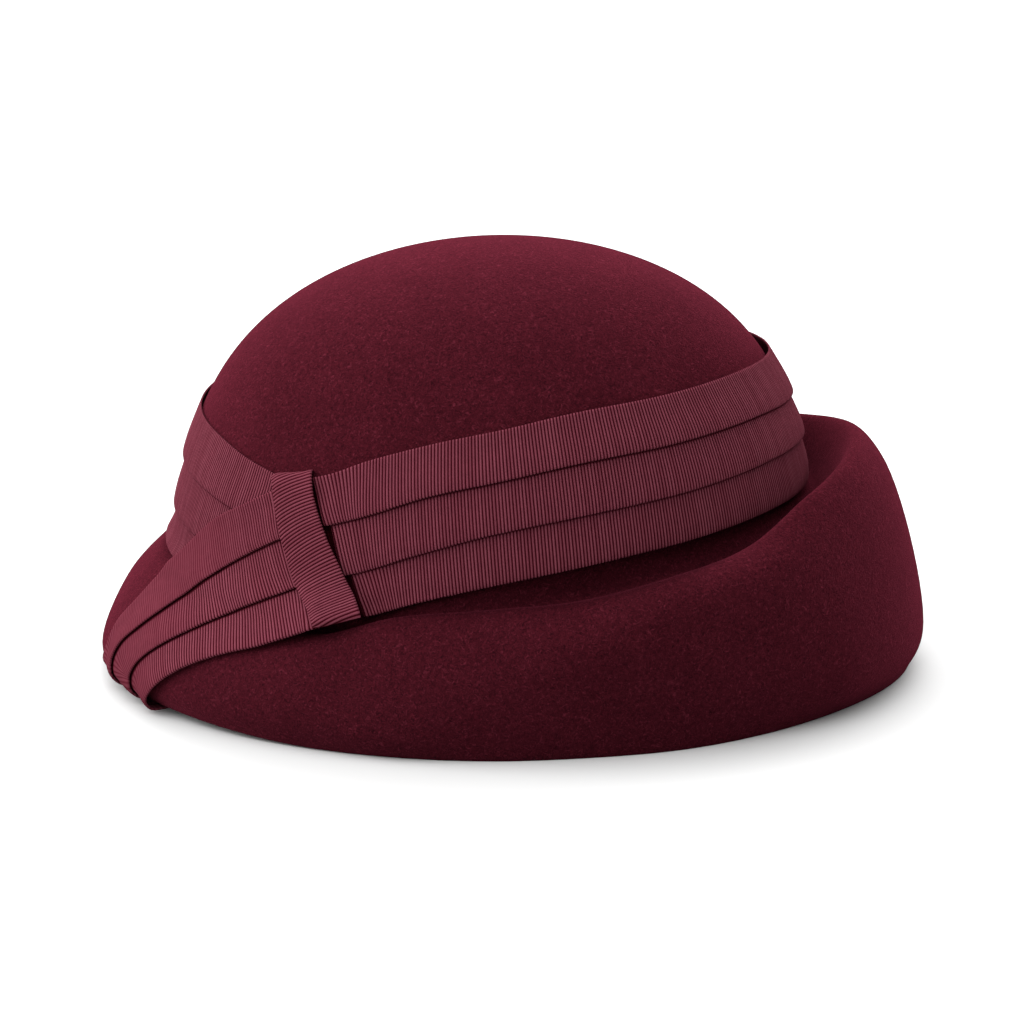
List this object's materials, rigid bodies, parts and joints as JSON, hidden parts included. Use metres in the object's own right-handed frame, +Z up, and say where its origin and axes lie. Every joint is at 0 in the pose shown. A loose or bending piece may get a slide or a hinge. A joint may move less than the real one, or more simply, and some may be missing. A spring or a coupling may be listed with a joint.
{
  "type": "cocktail hat",
  "caption": "Felt cocktail hat with a domed crown, a brim rolled up high at one end and low at the other, and a pleated ribbon band knotted at the side with a tail over the brim.",
  "frame": {"origin": "on the surface that the rim rests on, under the middle of the hat's bounding box", "axes": "+X along the hat's long axis towards the high rolled end of the brim, -X towards the low end with the ribbon tail, -Y towards the side with the knot, +Z up out of the crown"},
  "size_m": [0.2692, 0.2136, 0.1388],
  "materials": {
    "wool_felt": "brushed wool felt, matt with a soft bloom",
    "corded_ribbon": "corded ribbon, dull silk sheen"
  },
  "bodies": {
    "root": {"felt_body": "wool_felt", "band_tier_top": "corded_ribbon", "band_tier_middle": "corded_ribbon", "band_tier_bottom": "corded_ribbon", "tail_tier_top": "corded_ribbon", "tail_tier_middle": "corded_ribbon", "tail_tier_bottom": "corded_ribbon", "knot_strap": "corded_ribbon"}
  },
  "joints": []
}
